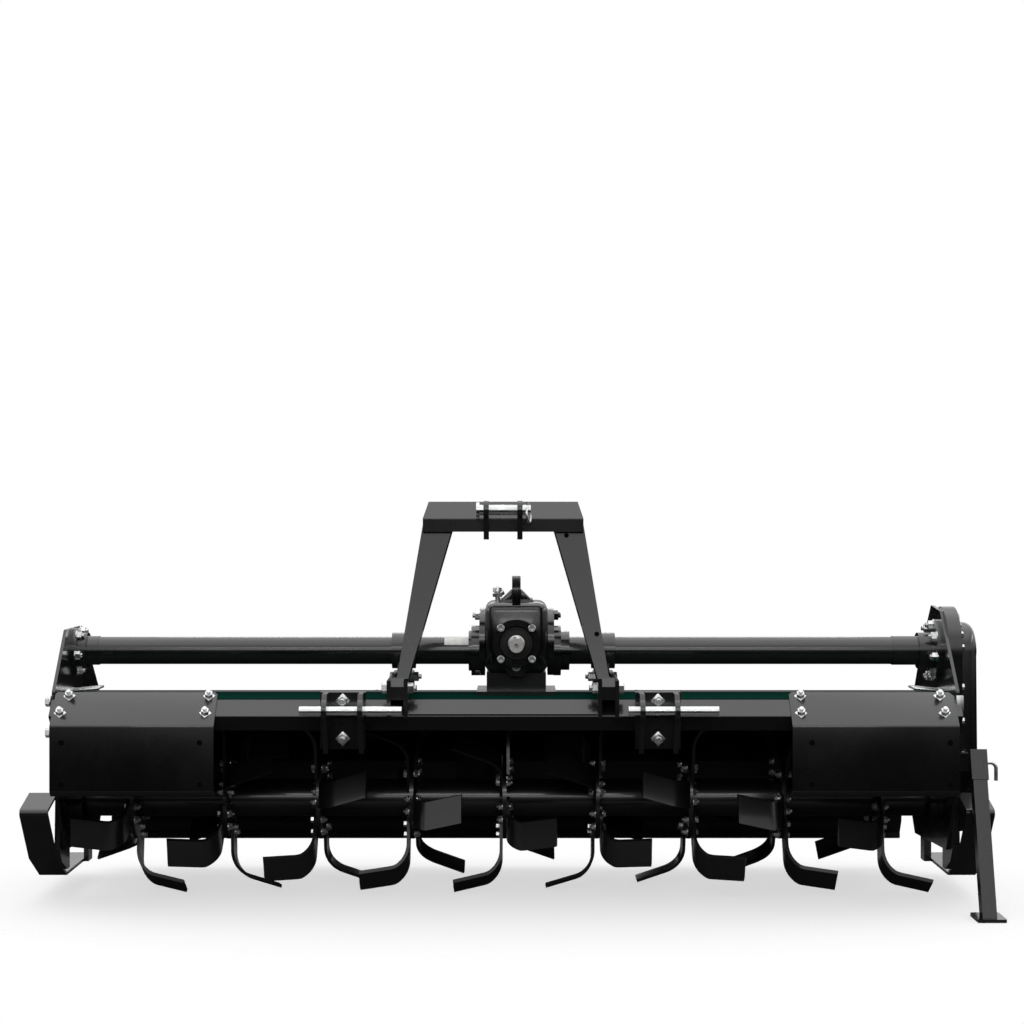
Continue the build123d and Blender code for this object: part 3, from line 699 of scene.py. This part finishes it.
# %% Splined shaft and seal
shaft = start_cylinder(24, 0.01745, 0.0, 0.085)
for i in range(6):
    turn = math.radians(60 * i + 15)
    toward = Vector((math.cos(turn), math.sin(turn), 0))
    pick_faces(shaft, lambda f: abs(f.normal.z) < 0.1 and f.normal.dot(toward) > 0.98)
    bpy.ops.mesh.inset(thickness=0.0006)
    bpy.ops.transform.translate(value=toward * -0.0035)
pick_faces(shaft, lambda f: f.normal.z > 0.9 and len(f.verts) == 24)
bpy.ops.mesh.inset(thickness=0.003)
bpy.ops.mesh.inset(thickness=0.0095)
bpy.ops.mesh.extrude_region_move(TRANSFORM_OT_translate={"value": (0, 0, -0.018)})
bpy.ops.object.mode_set(mode="OBJECT")
aimed(shaft, at(INPUT[0], -215, INPUT[1]), FRONT)
collar = turned(32, 0.021, 0.02, [(0.008, 0.021), (0.001, 0.0185)])
aimed(collar, at(INPUT[0], -187, INPUT[1]), FRONT)
input_spline = finished("input_spline", [shaft, collar], bare_steel, "input_shaft", 25)
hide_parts("input_shaft")
# Oil-proof rubber of the seal and the flap: a dull black with a fine grain.
rubber, tree, shader, place = new_material("nitrile_rubber_seal")
shader.inputs["Base Color"].default_value = linear("0b0b0c")
shader.inputs["Roughness"].default_value = 0.62
roughen(tree, shader, noise(tree, place, 700.0, 2.0), 0.3, 0.0003)


def wire_ring(outer_radius, wire_radius, segments, around_wire, point, direction):
    """A ring of round wire, its axis along a direction."""
    clear_selection()
    bpy.ops.mesh.primitive_torus_add(
        major_radius=outer_radius - wire_radius,
        minor_radius=wire_radius,
        major_segments=segments,
        minor_segments=around_wire,
    )
    return aimed(bpy.context.object, point, direction)


seal_face = at(INPUT[0], -206, INPUT[1])
seal_sizes = ((0.0435, 0.0055), (0.0275, 0.004))
seal_rings = [wire_ring(outer, wire, 48, 10, seal_face, FRONT) for outer, wire in seal_sizes]
seal_disc = turned(48, 0.0435, 0.003, [(0.002, 0.036), (-0.001, 0.0225)])
aimed(seal_disc, at(INPUT[0], -205, INPUT[1]), FRONT)
finished("input_seal", [seal_disc, *seal_rings], rubber, "frame")

# %% [markdown]
# Plugs and a breather sit where oil goes in and out: on top of the gearbox, in its front and on the
# gear case. Each is turned from one disc by extruding it in steps, as a lathe would leave it. A step is
# its rise along the axis and the radius that it ends with.

# %% Breather, plugs and bearing caps
breather_steps = [(0.0, 0.012), (0.008, 0.013), (0.003, 0.009), (0.004, 0.0125), (0.009, 0.011), (0.002, 0.006)]
breather = aimed(turned(20, 0.006, 0.012, breather_steps), at(-22, -90, 754), UP)
elbow = turned(16, 0.006, 0.008, [(0.002, 0.008), (0.006, 0.008), (0.002, 0.005)])
aimed(elbow, at(-22, -90, 772), (1, 0, 0.5))
finished("gearbox_breather", [breather, elbow], zinc, "frame")
screw_model = turned(20, 0.0095, 0.008, [(0.001, 0.0085), (0.0, 0.0046), (-0.007, 0.0045)])
cap_screws = [(at(INPUT[0] + dx, -215, INPUT[1] + dz), FRONT, 1.0, 0) for dx in (-39, 39) for dz in (-39, 39)]
place_copies("input_cap_screws", screw_model, cap_screws, zinc, "frame")
plug_model = turned(24, 0.016, 0.004, [(0.002, 0.014), (0.0, 0.010), (0.006, 0.0098), (0.001, 0.008)])
plugs = [(at(INPUT[0], -190, 594), FRONT, 0.7, 0), (at(1198, -45, 520), RIGHT, 1.0, 0)]
place_copies("oil_plugs", plug_model, plugs, zinc, "frame")
cap_steps = [(0.003, 0.074), (0.0, 0.056), (0.016, 0.053), (0.006, 0.044), (0.0, 0.016), (0.004, 0.014)]
cap = aimed(turned(48, 0.078, 0.008, cap_steps), at(-PLATE_OUT, 0, AXLE_MM), LEFT)
finished("left_bearing_cap", cap, black_cast, "frame")
cap_bolts = ring(-PLATE_OUT - 8, 0, AXLE_MM, 67, 6, -1, 0.018, 15)
place_copies("left_bearing_bolts", head_model, cap_bolts, zinc, "frame")
boss = turned(48, 0.038, 0.003, [(0.002, 0.035), (0.0, 0.024), (0.003, 0.022)])
finished("case_boss_high", aimed(boss, at(1197, *CROSS_TUBE), RIGHT), black_cast, "frame")
boss = turned(48, 0.078, 0.005, [(0.002, 0.075), (0.0, 0.056), (0.003, 0.053), (0.001, 0.040)])
finished("case_boss_low", aimed(boss, at(1197, -10, 262), RIGHT), black_cast, "frame")

# %% [markdown]
# The cover of the gear case is pressed from sheet, with a wide soft rim that shows from the front as a
# pale band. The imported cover's rim is narrower. Its outline is two arcs joined by straight sides; the
# plate is extruded, and the edge of its outer face is bevelled in many steps.

# %% Gear case cover
def two_arcs(high, high_r, low, low_r, steps=20):
    """The outline round two circles in millimetres, as (y from the axis, z)."""
    apart = high - low
    tilt = math.atan2(apart.y, apart.x)
    spread = math.acos((low_r - high_r) / apart.length)
    outline = []
    for middle, radius, first, last in (
        (high, high_r, tilt - spread, tilt + spread),
        (low, low_r, tilt + spread, tilt - spread + 2 * math.pi),
    ):
        for i in range(steps + 1):
            turn = first + (last - first) * i / steps
            outline.append(tuple(middle + radius * Vector((math.cos(turn), math.sin(turn)))))
    return outline


cover = cut_sheet(two_arcs(case_high, 73, case_low, 128), CASE_FACE, 48, bevel=0)
bpy.ops.object.mode_set(mode="EDIT")
pick_faces(cover, lambda f: f.normal.x > 0.9)
bpy.ops.mesh.region_to_loop()
bpy.ops.mesh.bevel(offset=0.026, segments=7, affect="EDGES")
bpy.ops.object.mode_set(mode="OBJECT")
case_cover = finished("case_cover", cover, black_cast, "frame", 40)
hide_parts("gear_case_cover")

# %% [markdown]
# ## Small sheet parts, label and pins
#
# The label on the left tube is a plain white sticker, bent round the tube. It is a strip of a cylinder
# a fraction of a millimetre larger than the tube, cut out with bisect.

# %% Label
label = start_cylinder(64, 0.0353, 0.0, 0.068)
pick_faces(label, lambda f: abs(f.normal.z) > 0.9)
bpy.ops.mesh.delete(type="FACE")
bpy.ops.object.mode_set(mode="OBJECT")
aimed(label, at(-158, *CROSS_TUBE), RIGHT)
bpy.ops.object.mode_set(mode="EDIT")
bpy.ops.mesh.select_all(action="SELECT")
bpy.ops.mesh.bisect(plane_co=at(-158, -60, 634), plane_no=(0, -0.3, -1), clear_outer=True)
bpy.ops.mesh.select_all(action="SELECT")
bpy.ops.mesh.bisect(plane_co=at(-158, -70, 650), plane_no=(0, 1, 0), clear_outer=True)
bpy.ops.object.mode_set(mode="OBJECT")
# Plain film: off-white, with a slight sheen.
paper, tree, shader, place = new_material("white_film_label")
tone = noise(tree, place, 60.0, 3.0)
tree.links.new(ramp(tree, tone, (0.3, linear("d9d8d4")), (0.7, linear("efeeea"))), shader.inputs["Base Color"])
shader.inputs["Roughness"].default_value = 0.4
finished("tube_label", label, paper, "frame")

# %% [markdown]
# The top link's pin is kept by a linch pin with a spring ring. The guards and the mast's right leg have
# free bolt holes. A hole is a near-black disc of painted shade in a thin rim: cutting it through would need
# a second outline in every sheet, for something three pixels wide.

# %% Linch pin and holes
keeper_ring = wire_ring(0.0214, 0.0024, 32, 8, at(56, -300, 976), (1, -0.25, 0.1))
keeper = aimed(turned(16, 0.0045, 0.044, [(0.003, 0.002)]), at(55, -292, 1008.5), (0, 0, -1))
finished("linch_pin", [keeper_ring, keeper], zinc, "frame")
# Painted shade: the inside of a drilled hole, where no light comes back, is given a near-black colour.
dull, tree, shader, place = new_material("painted_hole_shade")
speck = noise(tree, place, 300.0, 1.0)
tree.links.new(ramp(tree, speck, (0.3, linear("020202")), (0.7, linear("050505"))), shader.inputs["Base Color"])
shader.inputs["Roughness"].default_value = 0.9
shader.inputs["Specular IOR Level"].default_value = 0.1
hole_model = turned(14, 0.0068, 0.0004, [(0.0, 0.0056), (-0.0002, 0.0054)])
holes = [
    (at(side * x, -405.1, z), FRONT, 1.0, 0) for side in (-1, 1) for x in (1071, 738) for z in (427, 326)
]
LEG_LEAN = math.radians(17.8)  # how far the mast's legs lean back
lean_out = (0, -math.cos(LEG_LEAN), math.sin(LEG_LEAN))
for x, z in ((150, 925), (222, 685)):
    holes.append((at(x, -370.2 + (z - 578) * math.tan(LEG_LEAN), z), lean_out, 0.9, 0))
place_copies("guard_holes", hole_model, holes, dull, "frame")

# %% [markdown]
# ## Guards and edge strips
#
# A front guard is one sheet, folded twice, its corners cut off so that nobody tears a leg on them. The
# packed guard has square corners, so a sheet with cut corners replaces it. It starts as one plane; its
# lower edge is extruded down for each fold, the folds are bevelled round, and bisect cuts the corners.

# %% Folded sheets
def folded_sheet(line, low_x, high_x, thickness, bend, cuts=()):
    """A sheet folded along X. line is its outer face as (y from the axis, z); a cut is (point, outward)."""
    clear_selection()
    bpy.ops.mesh.primitive_plane_add(size=1.0)
    made = bpy.context.object
    corners = ((low_x, line[0]), (high_x, line[0]), (low_x, line[1]), (high_x, line[1]))
    for vertex, (x, (y, z)) in zip(made.data.vertices, corners):
        vertex.co = at(x, y, z)
    bpy.ops.object.mode_set(mode="EDIT")
    bpy.context.tool_settings.mesh_select_mode = (False, True, False)

    def pick_fold(places):
        """Select the edges along X whose ends lie at these places of the line."""
        mesh = bmesh.from_edit_mesh(made.data)
        bpy.ops.mesh.select_all(action="DESELECT")
        for edge in mesh.edges:
            a, b = (vertex.co for vertex in edge.verts)
            near = [all((end - at(end.x * 1000, *place)).length < 1e-5 for end in (a, b)) for place in places]
            edge.select_set(any(near) and abs(a.x - b.x) > 1e-4)
        bmesh.update_edit_mesh(made.data)

    for now, after in zip(line[1:], line[2:]):
        pick_fold([now])
        step = at(0, *after) - at(0, *now)
        bpy.ops.mesh.extrude_edges_move(TRANSFORM_OT_translate={"value": step})
    pick_fold(line[1:-1])
    bpy.ops.mesh.bevel(offset=bend, segments=3, affect="EDGES")
    for point, outward in cuts:
        bpy.ops.mesh.select_all(action="SELECT")
        bpy.ops.mesh.bisect(plane_co=point, plane_no=outward, clear_outer=True)
    bpy.ops.mesh.select_all(action="SELECT")
    bpy.ops.mesh.normals_make_consistent(inside=False)
    bpy.ops.object.mode_set(mode="OBJECT")
    thick = made.modifiers.new("thickness", "SOLIDIFY")
    thick.thickness = thickness
    thick.offset = -1 if made.data.polygons[0].normal.y < 0 else 1
    bpy.ops.object.modifier_apply(modifier="thickness")
    rim = made.modifiers.new("rim", "BEVEL")
    rim.width = 0.0008
    rim.segments = 2
    rim.limit_method = "ANGLE"
    rim.angle_limit = math.radians(50)
    bpy.ops.object.modifier_apply(modifier="rim")
    return made


GUARD_RIM = (-329.5, 542.9)
guard_line = [GUARD_RIM, (-405, 467.4), (-405, 309), (-394, 296)]
for name, low_x, high_x, outer, cut in (("left", -1100, -704, -1, 5), ("right", 691, 1094, 1, 12)):
    outer_x, inner_x = (high_x, low_x) if outer > 0 else (low_x, high_x)
    cuts = [
        (at(outer_x - outer * cut, *GUARD_RIM), (outer * 1.3, 0.7, 0.7)),
        (at(inner_x + outer * 7, *GUARD_RIM), (-outer, 0.7, 0.7)),
        (at(inner_x + outer * 3, *GUARD_RIM), (-outer * 2.4, 0.7, 0.7)),
    ]
    guard = folded_sheet(guard_line, low_x, high_x, 0.005, 0.003, cuts)
    guard = finished("guard_sheet_" + name, guard, black_enamel, "frame", 40)
    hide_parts("guard_" + name)

# %% [markdown]
# Thin strips finish the sheet's edges: a flat bar stiffens the apron's lower edge, and at each end of
# the hood a bright strip closes the corner against the side plate. On the rotor's side of the apron's
# hinge a rubber flap hangs from the hood, which keeps soil out of the gaps between the knuckles.

# %% Edge strips
edge_bar = rounded_block((-1090, 359, 79), (1090, 371, 97), 0.003, 2)
finished("apron_edge_bar", edge_bar, apron_enamel, "apron")
flap = rounded_block((-1095, 284, 246), (1095, 288, 316), 0.0015, 2)
finished("hinge_flap", flap, rubber, "frame")
strap = rounded_block((1097, -352, 486), (1115, -340, 536), 0.002, 2)
finished("case_strap", strap, zinc, "frame")
for name, side in (("left", -1), ("right", 1)):
    strip = rounded_block((-36, -110, -3.5), (36, -40, 3.5), 0.0025, 2)
    turn = Matrix.Translation(at(side * 1073, 0, 530)) @ Matrix.Rotation(math.radians(side * 6), 4, "Y")
    strip.data.transform(turn @ Matrix.Translation(-at(0, 0, 0)))
    finished("hood_end_strip_" + name, strip, zinc, "frame")

# %% [markdown]
# The bolts that were copied from stood at the origin as models. They are no part of the machine, and go.

# %% Models go
for model in (head_model, nut_model, stud_model, screw_model, plug_model, hole_model):
    bpy.data.objects.remove(model)
